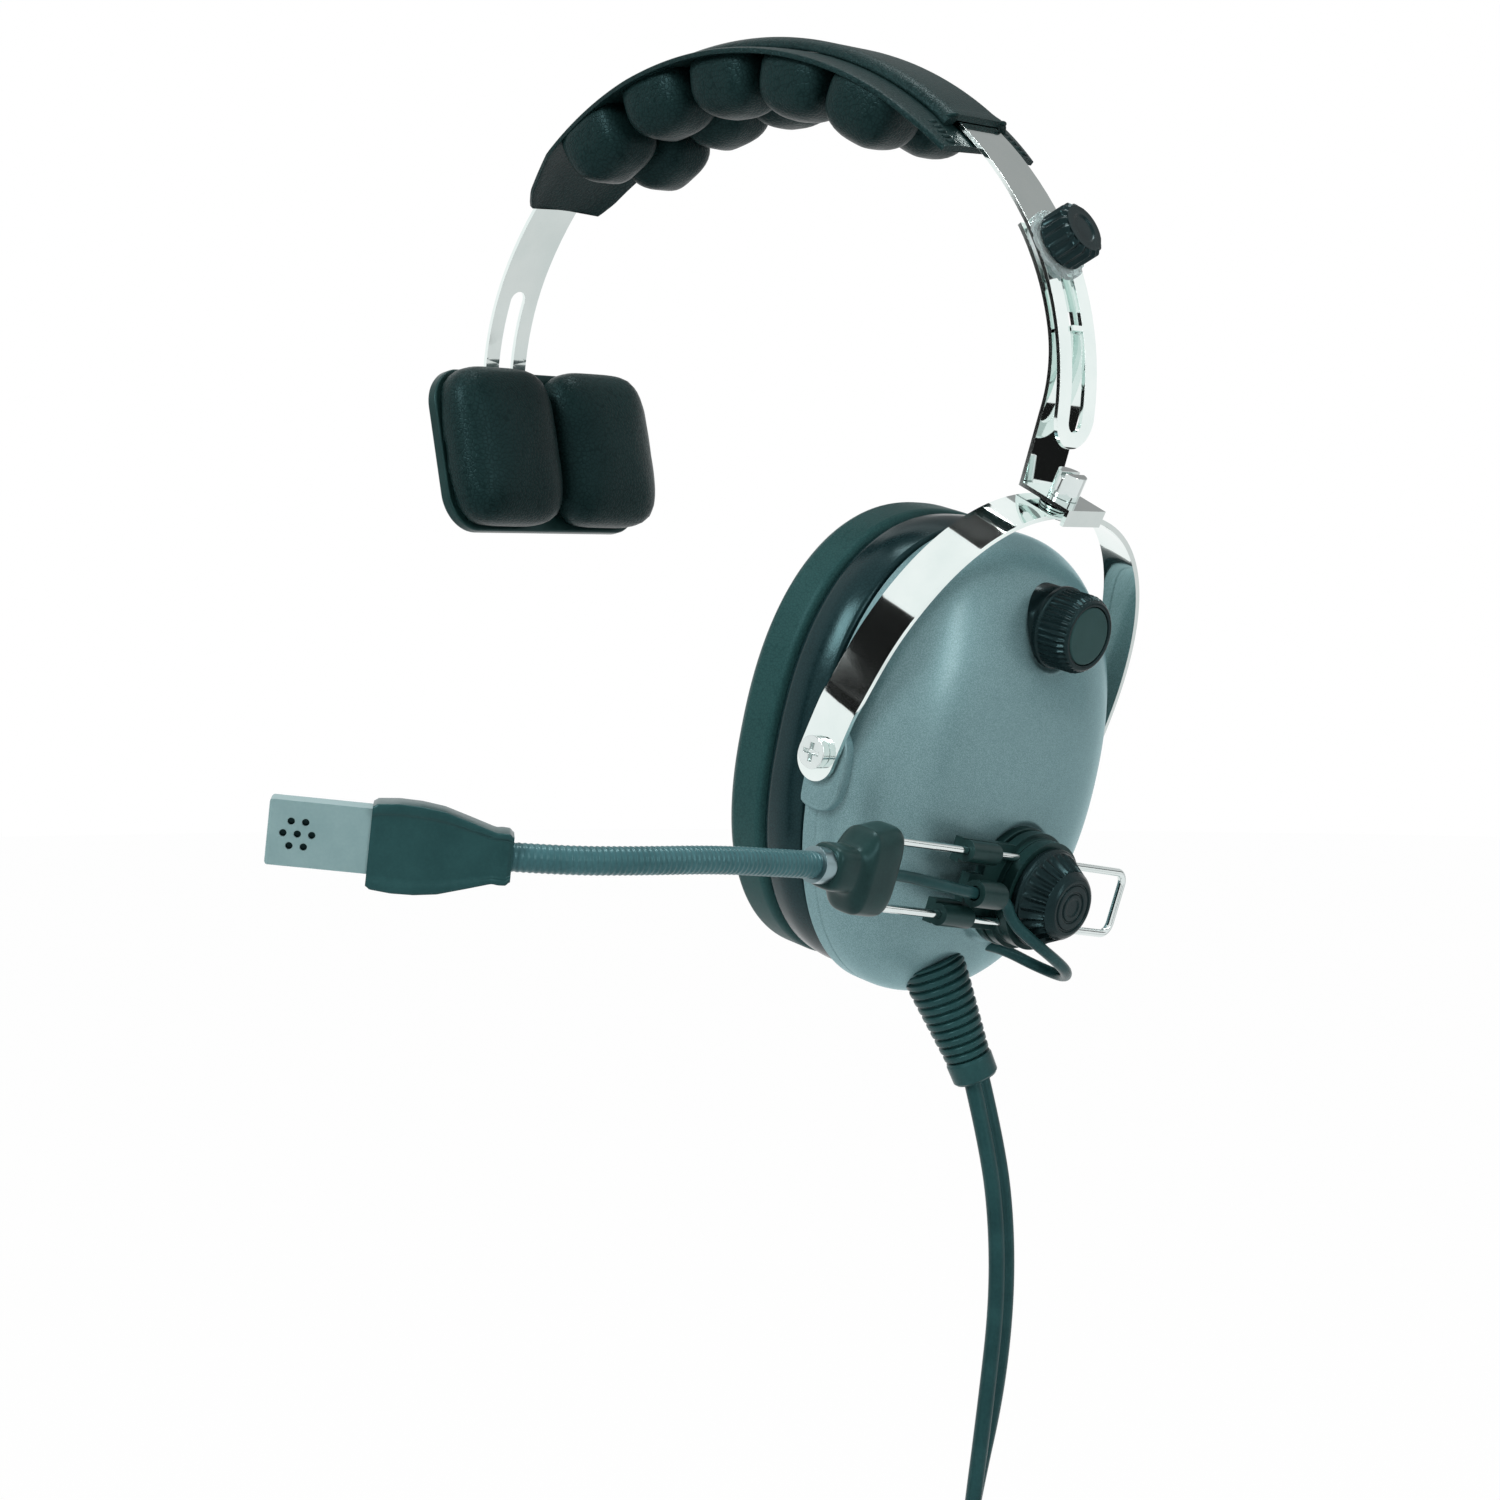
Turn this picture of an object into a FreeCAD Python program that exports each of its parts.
"""Aviation headset: one dome earphone on an adjustable spring headband, a temple pad on the other side,
and a boom microphone.  Millimetres, +Z up.  Origin at the underside of the crown pad, where it meets
the head.  +X points to the earphone side, -Y to the wearer's front."""
import FreeCAD, Part
import math
import os

V = FreeCAD.Vector
Rot = FreeCAD.Rotation
Pla = FreeCAD.Placement
os.makedirs("parts", exist_ok=True)

# ---------------------------------------------------------------- driving dimensions
# clearances
RUN = 0.05          # radial running clearance of a turning or sliding metal fit
GAP = 0.3           # free gap between soft or moulded pieces of different bodies
FACE = 0.05         # axial gap between faces that turn on each other

# spring headband
STRAP_W = 15.0      # strap width
STRAP_T = 1.0       # strap thickness
R_CROWN = 96.35     # crown arc, strap centreline
R_SIDE = 70.87      # side arcs, strap centreline
BEND = 59.6         # degrees from the top where crown arc meets side arc
SLOT_W = 5.3        # width of the adjusting slots
R_END = -8.2        # side-arc angle of the rounded end's centre, earphone side
R_SLOT_LOW = -9.0   # lower end centre of the earphone side slot
R_SLOT_TOP = 28.0
L_END = -18.2       # the same on the temple side
L_SLOT_LOW = -17.0
L_SLOT_TOP = 22.0

# crown pad
PAD_DEPTH = 18.2    # strap centreline to the underside of the cushion cells
PAD_HALF_W = 22.0
PAD_END_L = 48.5    # degrees from the top
PAD_END_R = 46.0
PAD_SHEET = 2.0     # moulded cover sheet under the strap
PAD_DROOP = 1.8     # how far the side edges curl down
TUNNEL_HALF_W = 11.0
TUNNEL_WALL = 1.6
CELL_STEP = 14.45   # degrees between cushion cells
CELL_ROW_Y = 10.6
CELL_L = 20.0       # cell length along the band, at its top
CELL_W = 19.0
CELL_FIRST = -29.7  # degrees from the top to the first cell

# temple pad
TEMPLE_ANGLE = -11.0
TPAD_L = 72.0
TPAD_H = 43.0
TPAD_T = 3.0
TPAD_CORNER = 10.0
TPAD_STANDOFF = 7.6  # hub between strap and plate
TPAD_DROP = 2.8      # plate centre below the stud's axis
HUB_R = 8.0
TCUSHION_T = 14.5
TCUSHION_GAP = 1.2
STUD_R = 2.5
STUD_HEAD_R = 5.0
STUD_HEAD_T = 1.2

# adjuster on the earphone side
STUD_ANGLE = 24.7
SADDLE_R = 8.8
SADDLE_T = 0.9
KNOB_R = 7.2
KNOB_H = 7.8
KNOB_RIBS = 18
LOWER_LINER_T = 0.9
LOWER_TOP_ANGLE = 30.2
LOWER_BEND_ANGLE = 9.5
LOWER_ARC_R = 38.9
LOWER_ARC_TURN = 29.9
TONGUE_ANGLE = 7.8   # lower edge of the punched guide tongue
TONGUE_TURN = 1.0    # its thickness along the arc, in degrees
TONGUE_W = 4.6
TONGUE_OUT = 0.7     # how far it stands out of the outer strap
PUNCH_TURN = 3.2     # window it was punched from, in degrees
LIP_CLEAR = 6.8      # swivel axis to the lip's inner face
TAB_BEHIND = 7.3
LIP_H = 3.6

# swivel, yoke and cup placement
SWIVEL_TILT = 27.4   # swivel axis from vertical, leaning outward
YOKE_YAW = -3.2      # rest turn about the swivel axis
CUP_TILT = -13.9     # rest tilt of the cup inside the yoke
PIVOT_OUT = 36.023    # pivot axis outward of the side arc's centre
PIVOT_DROP = 88.434   # pivot axis below the side arc's centre
YOKE_H = 65.2
YOKE_P = 49.0        # pivot to pivot half distance, strap centreline
YOKE_W = 11.0
YOKE_T = 1.2
YOKE_END = 1.4       # end radius centre below the pivot
YOKE_POWER = 2.22
SWIVEL_R = 2.5
SWIVEL_HEAD_R = 4.6
SWIVEL_HEAD_T = 1.5
SWIVEL_WASHER_T = 0.8
SWIVEL_CAP_R = 3.6
SWIVEL_CAP_H = 6.0
PIVOT_R = 2.0
PIVOT_HEAD_R = 3.9
PIVOT_HEAD_T = 2.2

# ear cup shells
DOME_B = 46.0        # half width
DOME_C = 57.0        # half height
DOME_DEPTH = 24.0
DOME_C0 = -3.0       # centre of the oval below the pivot axis
DOME_POWER = 2.2
DOME_PROFILE = 2.3
WALL = 2.2
PAD_WALL = 3.3       # shell thickness under the two round pads
RIM_T = 4.0
RIM_WALL = 4.5
LEDGE_W = 3.5
LEDGE_T = 1.2
LUG_OUT = 48.0
LUG_R = 7.0
LUG_DROP = 7.0
INSERT_R = 3.3
INSERT_L = 6.0
CASE_SCREW_R = 1.25
CASE_HEAD_R = 2.4
CASE_HEAD_T = 1.2
CASE_SCREW_L = 12.0
BOSS_R = 3.2

# ear seal and inner parts
SEAL_B = 47.0
SEAL_C = 56.6
SEAL_C0 = -1.5
SEAL_T = 24.2
SEAL_IN_B = 25.5
SEAL_IN_C = 36.0
SEAL_POWER = 2.3
FOAM_T = 2.4
BAFFLE_T = 1.8
SPK_R = 20.0
SPK_T = 4.5
MAG_R = 11.0
MAG_T = 6.0
CONE_R = 17.2
CONE_T = 0.5
WOOL_T = 4.5

# volume control
VOL_B = 2.5
VOL_C = 35.5
VOL_PAD_A = 20.3
VOL_PAD_R = 10.4
POT_R = 8.0
POT_T = 6.5
POT_NECK_R = 3.5
POT_NUT_AF = 10.0
POT_NUT_T = 2.0
SHAFT_R = 1.9
VKNOB_R = 9.9
VKNOB_H = 9.6
VKNOB_RIBS = 40
VCAP_R = 7.0
VCAP_T = 0.8

# boom swivel
BOOM_B = 2.2
BOOM_C = -27.0
BOOM_PITCH = -7.3    # rods' slope in the swivel plane
BASE_A = 22.8
BASE_R = 14.5
BASE_T = 2.4
FRICTION_T = 0.8
FRICTION_R = 12.0
ROTOR_R = 14.2
ROTOR_T = 2.5
WIRE_A = 30.0        # plane of the boom rods
JAW_T = 2.8
JAW_R = 13.2
BOLT_R = 3.0
BOLT_HEAD_R = 6.0
BOLT_HEAD_T = 2.0
LOCK_R = 12.0
LOCK_FACE_R = 6.5
LOCK_H = 9.2
LOCK_RIBS = 24

# boom rods, block and gooseneck (lengths along the rods from the swivel axis, forward positive)
WIRE_R = 1.0
ROD_HALF = 7.8
ROD_BACK = 34.5
ROD_FRONT = 66.0
ROD_CORNER = 3.0
BLOCK_REAR = 58.3
BLOCK_FRONT = 78.5
BLOCK_HALF_H = 9.8
BLOCK_HALF_T = 6.0
FERRULE_R = 4.1
FERRULE_L = 4.5
NECK_R = 3.0
BOOT_GRIP = 1.5      # how far the last link reaches into the boot
NECK_BACKSET = 1.2   # how far each link stops short of the next joint centre
NECK_STEPS = [(0.0, 0.0, 0.0), (-1.4, -24.0, -1.6), (-5.2, -50.0, -5.0), (-16.0, -72.8, -9.7)]
NECK_POINTS = [(x, y - BLOCK_FRONT - FERRULE_L, z) for x, y, z in NECK_STEPS]
TUBE_R = 2.6
CLIP_R = 3.2
CLIP_X = 3.8         # the lead clip stands outside the rods' plane
CLIP_Z = -1.1
CLIP_FRONT = 27.5    # clip's ends, forward of the swivel axis
CLIP_REAR = 18.2
LEAD_R = 1.4

# microphone
MIC_DIR = (-32.7, -35.9, -8.0)
BOOT_L = 29.0
BOOT_H0 = 9.6
BOOT_H1 = 17.4
BOOT_T0 = 9.0
BOOT_T1 = 9.6
MIC_L = 20.6
MIC_H = 13.4
MIC_T = 7.2
MIC_RISE = 0.9       # case axis above the boot axis
MIC_IN = 6.0         # how far the case reaches into the boot
MIC_WALL = 1.0
MIC_HOLE_R = 0.75
MIC_HOLE_RING = 2.9
CAPSULE_R = 4.8
CAPSULE_T = 3.6

# cord, strain relief and plugs
STRAIN_START = (12.0, -5.0, -52.4)
STRAIN_END = (23.0, 5.0, -76.0)
STRAIN_R0 = 7.6
STRAIN_R1 = 5.4
STRAIN_RIBS = 9
CORD_W = 8.0         # twin lead, width across both cores
CORD_T = 4.0
COIL_R = 44.0
COIL_TUBE_R = 8.0
TAIL_R = 2.0
SPLIT_L = 24.0
HANDLE_R = 6.2
HANDLE_L = 42.0
PHONE_R = 3.175
PHONE_L = 30.5
MIC_PLUG_R = 2.615
MIC_PLUG_L = 27.8
PIN_ROOT = 6.0       # how far each pin reaches into its handle
PIN_STEP = 0.6       # its root is this much slimmer
PIN_NOSE = 0.6       # nose length as a share of the pin radius

# ---------------------------------------------------------------- derived frames
ZC = -(R_CROWN - PAD_DEPTH)
SIDE_X = (R_CROWN - R_SIDE) * math.sin(math.radians(BEND))
SIDE_Z = ZC + (R_CROWN - R_SIDE) * math.cos(math.radians(BEND))
SIDE_SPAN = 90.0 - BEND
STRAP_OUT = R_SIDE + STRAP_T / 2
STRAP_IN = R_SIDE - STRAP_T / 2
LOWER_R = STRAP_IN - LOWER_LINER_T - STRAP_T / 2
PIVOT = V(SIDE_X + PIVOT_OUT, 0, SIDE_Z - PIVOT_DROP)
yoke_rot = Rot(V(math.sin(math.radians(SWIVEL_TILT)), 0, math.cos(math.radians(SWIVEL_TILT))), YOKE_YAW)
yoke_rot = yoke_rot.multiply(Rot(V(0, 1, 0), SWIVEL_TILT))
YOKE = Pla(PIVOT, yoke_rot)
CUP = Pla(PIVOT, yoke_rot.multiply(Rot(V(0, 1, 0), CUP_TILT)))
BOOM = CUP.multiply(Pla(V(WIRE_A, BOOM_B, BOOM_C), Rot(V(1, 0, 0), BOOM_PITCH)))
TAB_A = YOKE_H + YOKE_T / 2 + SWIVEL_WASHER_T + FACE + STRAP_T / 2
PIECES = {}


def put(name, shape, frame=None):
    """Store one named piece, moved from its own frame to the row frame."""
    if frame is not None:
        shape = shape.transformed(frame.toMatrix(), True)
    PIECES[name] = shape


def ring_point(cx, cz, r, deg, y=0.0):
    """Point at an angle on a circle in the XZ plane."""
    t = math.radians(deg)
    return V(cx + r * math.cos(t), y, cz + r * math.sin(t))


def sector(cx, cz, r0, r1, a0, a1, half_y):
    """Solid ring sector about the Y direction."""
    am = (a0 + a1) / 2
    p = [ring_point(cx, cz, r1, a, -half_y) for a in (a0, am, a1)]
    q = [ring_point(cx, cz, r0, a, -half_y) for a in (a1, am, a0)]
    edges = [Part.Arc(p[0], p[1], p[2]).toShape(), Part.makeLine(p[2], q[0])]
    edges += [Part.Arc(q[0], q[1], q[2]).toShape(), Part.makeLine(q[2], p[0])]
    return Part.Face(Part.Wire(edges)).extrude(V(0, 2 * half_y, 0))


def spoke(cx, cz, deg, r_pin, r0, r1, y=0.0):
    """Cylinder along the radial direction of a side arc."""
    a = ring_point(cx, cz, r0, deg, y)
    b = ring_point(cx, cz, r1, deg, y)
    return Part.makeCylinder(r_pin, (b - a).Length, a, b - a)


def spoke_frame(deg):
    """Frame on the strap's centreline at a side-arc angle, X outward."""
    return Pla(ring_point(SIDE_X, SIDE_Z, R_SIDE, deg), Rot(V(0, 1, 0), -deg))


def mirror_x(shape):
    """The temple side's copy of a shape built for the earphone side."""
    return shape.mirror(V(0, 0, 0), V(1, 0, 0))


def oval_wire(a, sb, sc, c0=0.0, power=DOME_POWER, b0=0.0, count=32):
    """Closed smooth superellipse in the plane at depth a."""
    pts = []
    for i in range(count):
        t = 2 * math.pi * (i + 0.5) / count
        ct = math.cos(t)
        st = math.sin(t)
        pb = math.copysign(abs(ct) ** (2 / power), ct) * sb
        pc = math.copysign(abs(st) ** (2 / power), st) * sc
        pts.append(V(a, b0 + pb, c0 + pc))
    curve = Part.BSplineCurve()
    curve.interpolate(Points=pts, PeriodicFlag=True)
    return Part.Wire([curve.toShape()])


def oval_prism(a0, a1, sb, sc, c0=0.0, power=DOME_POWER):
    """Straight oval plug from depth a0 to a1."""
    face = Part.Face(oval_wire(a0, sb, sc, c0, power))
    return face.extrude(V(a1 - a0, 0, 0))


def oval_loft(levels, c0=0.0, power=DOME_POWER):
    """Solid through a list of (depth, half width, half height)."""
    return Part.makeLoft([oval_wire(a, sb, sc, c0, power) for a, sb, sc in levels], True, False)


def along_x(radius, x0, x1, y=0.0, z=0.0):
    """Cylinder along X."""
    return Part.makeCylinder(radius, x1 - x0, V(x0, y, z), V(1, 0, 0))


def along_y(radius, y0, y1, x=0.0, z=0.0):
    """Cylinder along Y."""
    return Part.makeCylinder(radius, y1 - y0, V(x, y0, z), V(0, 1, 0))


def box(x0, x1, y0, y1, z0, z1):
    """Box between two corners."""
    return Part.makeBox(x1 - x0, y1 - y0, z1 - z0, V(x0, y0, z0))


def fuse(shapes):
    """One solid from several that touch."""
    body = shapes[0].fuse(shapes[1:]) if len(shapes) > 1 else shapes[0]
    return body.removeSplitter()


def cut(shape, tools):
    """Shape less a list of tools."""
    return shape.cut(Part.makeCompound(tools))


def ribbed(radius, height, count, depth, x0):
    """Cylinder along X whose side carries evenly spaced grooves."""
    body = along_x(radius, x0, x0 + height)
    groove_r = math.pi * radius / count * 0.5
    grooves = []
    for i in range(count):
        t = 2 * math.pi * i / count
        r = radius + groove_r - depth
        grooves.append(along_x(groove_r, x0 + 0.8, x0 + height + 1, r * math.cos(t), r * math.sin(t)))
    return cut(body, grooves)


def hexagon(across, x0, x1):
    """Hexagonal prism along X."""
    r = across / math.sqrt(3)
    pts = [V(x0, r * math.cos(math.radians(60 * i)), r * math.sin(math.radians(60 * i))) for i in range(7)]
    return Part.Face(Part.makePolygon(pts)).extrude(V(x1 - x0, 0, 0))


def route_wire(points):
    """Straight runs joined by tangent arcs, and the arcs' radii."""
    edges = []
    radii = []
    here = points[0]
    for i in range(1, len(points) - 1):
        before = points[i] - points[i - 1]
        after = points[i + 1] - points[i]
        turn = before.getAngle(after)
        cutback = 0.45 * min(before.Length, after.Length)
        radius = cutback / math.tan(turn / 2)
        din = V(before).normalize()
        dout = V(after).normalize()
        start = points[i] - din * cutback
        stop = points[i] + dout * cutback
        bis = V(dout - din).normalize()
        centre = points[i] + bis * (radius / math.cos(turn / 2))
        middle = centre - bis * radius
        edges.append(Part.LineSegment(here, start).toShape())
        edges.append(Part.Arc(start, middle, stop).toShape())
        radii.append(radius)
        here = stop
    edges.append(Part.LineSegment(here, points[-1]).toShape())
    return Part.Wire(edges), radii


def tube(points, radius, label):
    """Round tube along a route; prints its radii and its volume against section times length."""
    wire, radii = route_wire(points)
    start = Part.Wire([Part.Circle(points[0], points[1] - points[0], radius).toShape()])
    solid = wire.makePipeShell([start], True, True)
    expect = math.pi * radius * radius * wire.Length
    shown = " ".join("%.1f" % r for r in radii)
    print(label, "length %.1f" % wire.Length, "volume ratio %.4f" % (solid.Volume / expect), "radii", shown)
    return solid, wire


# ---------------------------------------------------------------- spring headband and crown pad
def slot_cut(a0, a1, sx):
    """Tool for one adjusting slot on the earphone side's arc."""
    half = SLOT_W / 2
    r0 = STRAP_IN - 2
    r1 = STRAP_OUT + 2
    tool = sector(sx, SIDE_Z, r0, r1, a0, a1, half)
    return fuse([tool, spoke(sx, SIDE_Z, a0, half, r0, r1), spoke(sx, SIDE_Z, a1, half, r0, r1)])


def round_end(angle, sx):
    """Rounded strap end: the strap's shell inside a spoke as wide as the strap."""
    span = math.degrees(STRAP_W / R_SIDE)
    shell = sector(sx, SIDE_Z, STRAP_IN, STRAP_OUT, angle - span, angle + 1.0, STRAP_W)
    return shell.common(spoke(sx, SIDE_Z, angle, STRAP_W / 2, STRAP_IN - 5, STRAP_OUT + 5))


def side_strap(end, slot_low, slot_top):
    """One side arc of the spring strap with its end and slot."""
    arc = sector(SIDE_X, SIDE_Z, STRAP_IN, STRAP_OUT, end, SIDE_SPAN, STRAP_W / 2)
    arm = fuse([arc, round_end(end, SIDE_X)])
    return arm.cut(slot_cut(slot_low, slot_top, SIDE_X))


def upper_band():
    """The slotted spring strap over the head."""
    rc0 = R_CROWN - STRAP_T / 2
    rc1 = R_CROWN + STRAP_T / 2
    crown = sector(0, ZC, rc0, rc1, SIDE_SPAN, 180 - SIDE_SPAN, STRAP_W / 2)
    right = side_strap(R_END, R_SLOT_LOW, R_SLOT_TOP)
    left = mirror_x(side_strap(L_END, L_SLOT_LOW, L_SLOT_TOP))
    return fuse([crown, right, left])


def pad_cover():
    """Moulded cover: a drooping sheet under the strap and a tunnel that holds the strap."""
    under = R_CROWN - STRAP_T / 2 - RUN
    over = R_CROWN + STRAP_T / 2 + RUN
    side = STRAP_W / 2 + RUN
    low = under - PAD_SHEET
    w = PAD_HALF_W
    k = TUNNEL_HALF_W
    outer = [(-w, under - PAD_DROOP), (-k - 1, under - 0.6), (-k, over + 0.2), (-k + 2, over + TUNNEL_WALL)]
    outer += [(k - 2, over + TUNNEL_WALL), (k, over + 0.2), (k + 1, under - 0.6), (w, under - PAD_DROOP)]
    outer += [(w, low - PAD_DROOP + 0.6), (k + 1, low), (-k - 1, low), (-w, low - PAD_DROOP + 0.6)]
    hole = [(-side, under), (side, under), (side, over), (-side, over)]
    loops = []
    for ring in (outer, hole):
        pts = [V(0, y, ZC + r) for y, r in ring]
        loops.append(Part.Wire(Part.makePolygon(pts + [pts[0]])))
    profile = Part.Face(loops)
    profile.rotate(V(0, 0, ZC), V(0, 1, 0), -PAD_END_L)
    body = profile.revolve(V(0, 0, ZC), V(0, 1, 0), PAD_END_L + PAD_END_R)
    reach = R_CROWN * math.sin(math.radians(PAD_END_L)) + 2
    plan = Part.Face(leaf_wire(reach, PAD_HALF_W + 0.5, ZC)).extrude(V(0, 0, R_CROWN + 20))
    return body.common(plan)


def leaf_wire(reach, half, z):
    """Plan outline of the cover: full width in the middle, narrowing to rounded ends."""
    half_end = half * 0.86
    xs = [-reach, -reach * 0.97, -reach * 0.8, 0, reach * 0.8, reach * 0.97, reach]
    ys = [half_end * 0.72, half_end * 0.88, half_end * 1.06, half, half_end * 1.06, half_end * 0.88, half_end * 0.72]
    top = [V(x, y, z) for x, y in zip(xs, ys)]
    low = [V(x, -y, z) for x, y in zip(xs, ys)]
    return Part.makePolygon(top + low[::-1] + [top[0]])


def pad_cell(angle, row):
    """One cushion cell: a rounded block that hangs under the cover and narrows towards the head."""
    bottom = R_CROWN - PAD_DEPTH
    top = R_CROWN - STRAP_T / 2 - RUN
    wires = []
    for r, k in ((top, 0.94), (top - 7.0, 1.0), (bottom + 4.5, 0.94), (bottom + 1.4, 0.8), (bottom, 0.5)):
        wires.append(cell_wire(r, CELL_L / 2 * k, CELL_W / 2 * k, row * CELL_ROW_Y))
    body = Part.makeLoft(wires, True, False)
    body.rotate(V(0, 0, 0), V(0, 1, 0), angle)
    body.translate(V(0, 0, ZC))
    return body


def cell_wire(z, sx, sy, y0):
    """Rounded square at height z as a smooth closed curve."""
    pts = []
    for i in range(20):
        t = 2 * math.pi * (i + 0.5) / 20
        ct = math.cos(t)
        st = math.sin(t)
        px = math.copysign(abs(ct) ** 0.6, ct) * sx
        py = math.copysign(abs(st) ** 0.6, st) * sy
        pts.append(V(px, y0 + py, z))
    curve = Part.BSplineCurve()
    curve.interpolate(Points=pts, PeriodicFlag=True)
    return Part.Wire([curve.toShape()])


def headband():
    """Everything fixed to the crown of the band."""
    put("upper_band", upper_band())
    cover = pad_cover()
    cells = []
    for row in (-1, 1):
        for i in range(5):
            body = pad_cell(CELL_FIRST + CELL_STEP * i, row).cut(cover)
            cells.append(min(body.Solids, key=lambda s: s.BoundBox.ZMin))
    put("pad_cells", Part.makeCompound(cells))
    put("head_pad_cover", cover)


# ---------------------------------------------------------------- temple pad
def rounded_plate(x0, x1, ly, lz, corner):
    """Plate across X with rounded corners."""
    body = box(x0, x1, -ly / 2, ly / 2, -lz / 2, lz / 2)
    edges = [e for e in body.Edges if abs(e.Vertexes[0].X - e.Vertexes[-1].X) > 0.5 * (x1 - x0)]
    return body.makeFillet(min(corner, ly / 2 - 0.1, lz / 2 - 0.1), edges)


def temple_side():
    """Stud, plate, cushions and knob of the temple pad; built as for +X and mirrored."""
    frame = spoke_frame(TEMPLE_ANGLE)
    half = STRAP_T / 2
    bow = STRAP_IN - math.sqrt(STRAP_IN ** 2 - HUB_R ** 2)
    plate_out = -half - bow - TPAD_STANDOFF
    plate_in = plate_out - TPAD_T
    hub = along_x(HUB_R, plate_out - 0.5, -half - bow - FACE)
    flat = rounded_plate(plate_in, plate_out, TPAD_L, TPAD_H, TPAD_CORNER)
    flat.translate(V(0, 0, -TPAD_DROP))
    recess = along_x(STUD_HEAD_R + RUN, plate_in - 1, plate_in + STUD_HEAD_T)
    plate = cut(fuse([flat, hub]), [recess, along_x(STUD_R + RUN, plate_in - 1, 3)])
    knob_top = half + FACE + KNOB_H
    stud = fuse([along_x(STUD_HEAD_R, plate_in, plate_in + STUD_HEAD_T - FACE),
                 along_x(STUD_R, plate_in + STUD_HEAD_T / 2, knob_top - 1.5)])
    knob = ribbed(KNOB_R, KNOB_H, KNOB_RIBS, 0.7, half + FACE)
    knob = knob.cut(along_x(STUD_R + RUN, -2, knob_top - 1.4))
    cell_l = (TPAD_L - TCUSHION_GAP) / 2
    cushions = []
    for side in (-1, 1):
        soft = cushion_block(plate_in, TCUSHION_T, cell_l, TPAD_H)
        soft.translate(V(0, side * (cell_l + TCUSHION_GAP) / 2, -TPAD_DROP))
        cushions.append(soft)
    for name, shape in (("temple_plate", plate), ("temple_stud", stud), ("temple_knob", knob),
                        ("temple_cushions", Part.makeCompound(cushions))):
        put(name, mirror_x(shape.transformed(frame.toMatrix(), True)))


def cushion_block(x_top, depth, ly, lz):
    """Soft block that swells from the plate and rounds over at the skin side."""
    wires = []
    for x, k in ((x_top, 0.97), (x_top - depth * 0.3, 0.99), (x_top - depth * 0.65, 0.92),
                 (x_top - depth * 0.9, 0.75), (x_top - depth, 0.5)):
        wires.append(oval_wire(x, ly / 2 * k, lz / 2 * k, 0.0, 4.0))
    return Part.makeLoft(wires, True, False)


# ---------------------------------------------------------------- adjuster and lower strap
def lower_strap():
    """Inner strap: hugs the side arc, turns in, then bends out into the swivel tab with a lip."""
    half = STRAP_T / 2
    body = [sector(SIDE_X, SIDE_Z, LOWER_R - half, LOWER_R + half, LOWER_BEND_ANGLE, LOWER_TOP_ANGLE,
                   STRAP_W / 2)]
    a0 = LOWER_BEND_ANGLE
    turn = ring_point(SIDE_X, SIDE_Z, LOWER_R - LOWER_ARC_R, a0)
    a1 = a0 - LOWER_ARC_TURN
    body.append(sector(turn.x, turn.z, LOWER_ARC_R - half, LOWER_ARC_R + half, a1, a0, STRAP_W / 2))
    low = ring_point(turn.x, turn.z, LOWER_ARC_R, a1)
    n = V(math.sin(math.radians(SWIVEL_TILT)), 0, math.cos(math.radians(SWIVEL_TILT)))
    out = V(math.cos(math.radians(SWIVEL_TILT)), 0, -math.sin(math.radians(SWIVEL_TILT)))
    mid = PIVOT + n * TAB_A
    corner = mid - out * TAB_BEHIND
    tip = mid + out * (LIP_CLEAR + half)
    body.append(plank(low, corner, half))
    body.append(plank(corner - out * half, tip + out * half, half))
    body.append(plank(tip + n * half, tip - n * LIP_H, half))
    stud_hole = spoke(SIDE_X, SIDE_Z, STUD_ANGLE, STUD_R, LOWER_R - 4, LOWER_R + 4)
    swivel_hole = Part.makeCylinder(SWIVEL_R + RUN, 10, mid - n * 5, n)
    window0 = TONGUE_ANGLE + TONGUE_TURN
    window = sector(SIDE_X, SIDE_Z, LOWER_R - 2, LOWER_R + 2, window0, window0 + PUNCH_TURN, TONGUE_W / 2)
    strap = cut(fuse(body), [stud_hole, swivel_hole, window])
    tongue = sector(SIDE_X, SIDE_Z, LOWER_R - half, STRAP_OUT + TONGUE_OUT, TONGUE_ANGLE, window0, TONGUE_W / 2)
    return fuse([strap, tongue])


def plank(p, q, half):
    """Strap-wide flat piece from p to q in the XZ plane."""
    d = V(q - p).normalize()
    s = V(-d.z, 0, d.x) * half
    y = V(0, -STRAP_W / 2, 0)
    pts = [p + s + y, q + s + y, q - s + y, p - s + y, p + s + y]
    return Part.Face(Part.makePolygon(pts)).extrude(V(0, STRAP_W, 0))


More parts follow.
